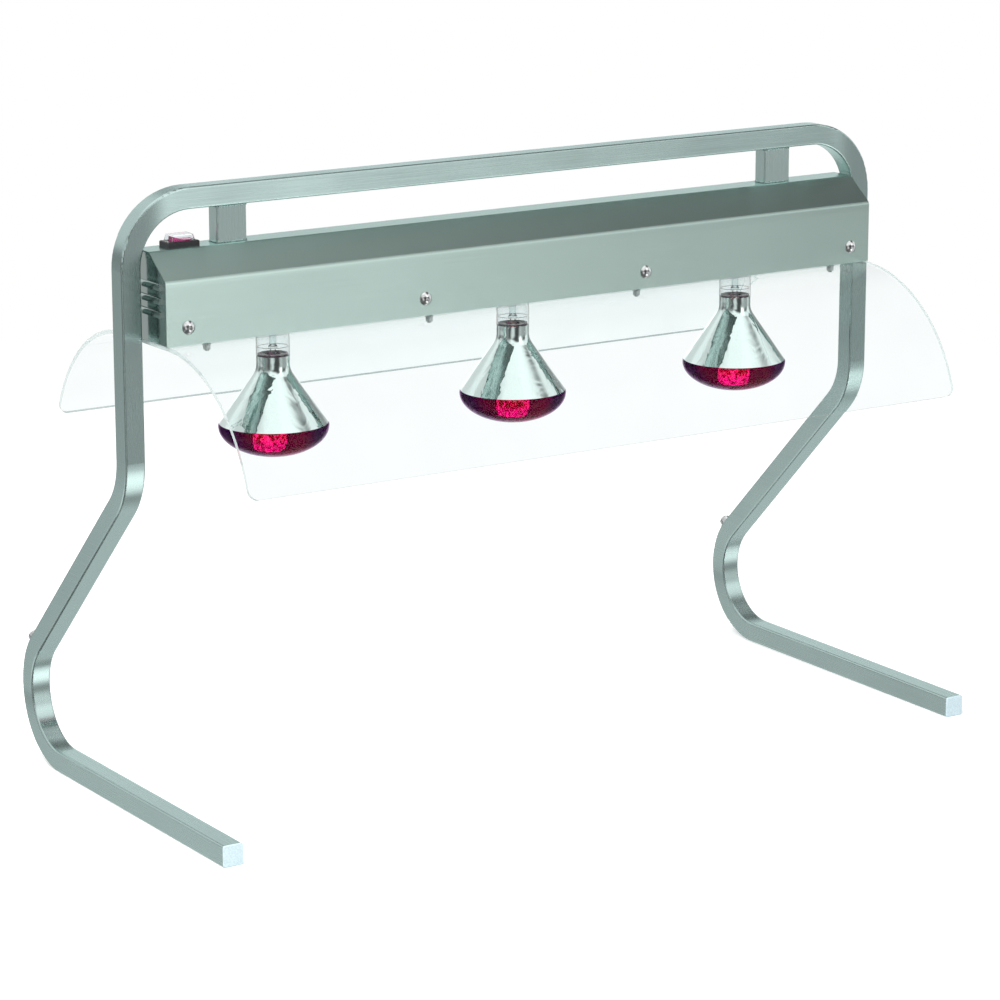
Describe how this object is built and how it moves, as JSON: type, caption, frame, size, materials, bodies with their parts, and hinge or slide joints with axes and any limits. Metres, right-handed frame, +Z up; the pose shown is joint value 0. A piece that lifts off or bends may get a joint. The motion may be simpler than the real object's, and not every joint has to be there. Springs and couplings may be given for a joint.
{
  "type": "food heat lamp",
  "caption": "Free-standing food heat lamp: a sheet housing with screw-in red reflector bulbs hangs from a bent square-tube stand, over a clear arched guard.",
  "frame": {"origin": "centre of the outer box at the level of the counter, under the middle of the stand", "axes": "+X along the rail to the right as seen from the front, +Y from the open front of the feet to the knees at the back, +Z up"},
  "size_m": [1.045, 0.505, 0.718],
  "materials": {
    "brushed_stainless": "brushed along the length",
    "plug_plastic": "satin",
    "fastener_chrome": "polished",
    "fastener_steel": "zinc plated",
    "clear_acrylic": "clear, polished",
    "red_glass": "ruby coating, gloss",
    "silvered_glass": "silvered glass",
    "clear_glass": "clear",
    "filament_wire": "drawn wire",
    "cap_brass": "plain",
    "holder_ceramic": "unglazed",
    "black_plastic": "satin",
    "red_plastic": "gloss",
    "clear_boot": "clear, flexible",
    "block_plastic": "satin",
    "blue_insulation": "satin",
    "brown_insulation": "satin"
  },
  "bodies": {
    "lamp": {"top_rail": "brushed_stainless", "left_leg": "brushed_stainless", "right_leg": "brushed_stainless", "left_foot_plug": "plug_plastic", "right_foot_plug": "plug_plastic", "knee_bolts": "fastener_chrome", "knee_washers": "fastener_chrome", "knee_rivet_nuts": "fastener_steel", "left_hanger_post": "brushed_stainless", "right_hanger_post": "brushed_stainless", "hanger_plates": "fastener_steel", "hanger_bolts": "fastener_steel", "housing_cover": "brushed_stainless", "left_end_panel": "brushed_stainless", "right_end_panel": "brushed_stainless", "bottom_tray": "brushed_stainless", "cover_screws": "fastener_chrome", "cover_rivet_nuts": "fastener_steel", "sneeze_guard": "clear_acrylic", "guard_studs": "fastener_steel", "guard_washers": "fastener_steel", "guard_nuts": "fastener_steel", "holder_1_body": "holder_ceramic", "holder_2_body": "holder_ceramic", "holder_3_body": "holder_ceramic", "holder_1_shell": "cap_brass", "holder_2_shell": "cap_brass", "holder_3_shell": "cap_brass", "holder_contacts": "cap_brass", "holder_rail": "fastener_steel", "holder_screws": "fastener_steel", "switch_body": "black_plastic", "switch_boot": "clear_boot", "switch_blades": "cap_brass", "terminal_block": "block_plastic", "neutral_wire": "blue_insulation", "switched_wire": "brown_insulation", "supply_wire": "brown_insulation", "cable_gland": "black_plastic", "gland_nut": "black_plastic"},
    "bulb_1_base": {"bulb_1_cap": "cap_brass"},
    "bulb_1_glass": {"bulb_1_lens": "red_glass", "bulb_1_reflector": "silvered_glass", "bulb_1_neck": "clear_glass", "bulb_1_stem": "clear_glass", "bulb_1_filament": "filament_wire"},
    "bulb_2_base": {"bulb_2_cap": "cap_brass"},
    "bulb_2_glass": {"bulb_2_lens": "red_glass", "bulb_2_reflector": "silvered_glass", "bulb_2_neck": "clear_glass", "bulb_2_stem": "clear_glass", "bulb_2_filament": "filament_wire"},
    "bulb_3_base": {"bulb_3_cap": "cap_brass"},
    "bulb_3_glass": {"bulb_3_lens": "red_glass", "bulb_3_reflector": "silvered_glass", "bulb_3_neck": "clear_glass", "bulb_3_stem": "clear_glass", "bulb_3_filament": "filament_wire"},
    "rocker": {"switch_rocker": "red_plastic"}
  },
  "joints": [
    {"name": "bulb_1_drop", "type": "slide", "parent": "lamp", "child": "bulb_1_base", "axis": [0, 0, -1], "range_m": [0, 0.012]},
    {"name": "bulb_1_turn", "type": "hinge", "parent": "bulb_1_base", "child": "bulb_1_glass", "pos_m": [-0.326, -0.01985, 0.45], "axis": [0, 0, -1], "range_deg": [0, 1190]},
    {"name": "bulb_2_drop", "type": "slide", "parent": "lamp", "child": "bulb_2_base", "axis": [0, 0, -1], "range_m": [0, 0.012]},
    {"name": "bulb_2_turn", "type": "hinge", "parent": "bulb_2_base", "child": "bulb_2_glass", "pos_m": [0, -0.01985, 0.45], "axis": [0, 0, -1], "range_deg": [0, 1190]},
    {"name": "bulb_3_drop", "type": "slide", "parent": "lamp", "child": "bulb_3_base", "axis": [0, 0, -1], "range_m": [0, 0.012]},
    {"name": "bulb_3_turn", "type": "hinge", "parent": "bulb_3_base", "child": "bulb_3_glass", "pos_m": [0.326, -0.01985, 0.45], "axis": [0, 0, -1], "range_deg": [0, 1190]},
    {"name": "rocker_tilt", "type": "hinge", "parent": "lamp", "child": "rocker", "pos_m": [-0.4425, -0.01985, 0.652], "axis": [0, 1, 0], "range_deg": [-18, 0]}
  ],
  "couplings": [
    {"joint": "bulb_1_drop", "follows": "bulb_1_turn", "m_per_rad": 0.00057773},
    {"joint": "bulb_2_drop", "follows": "bulb_2_turn", "m_per_rad": 0.00057773},
    {"joint": "bulb_3_drop", "follows": "bulb_3_turn", "m_per_rad": 0.00057773}
  ]
}
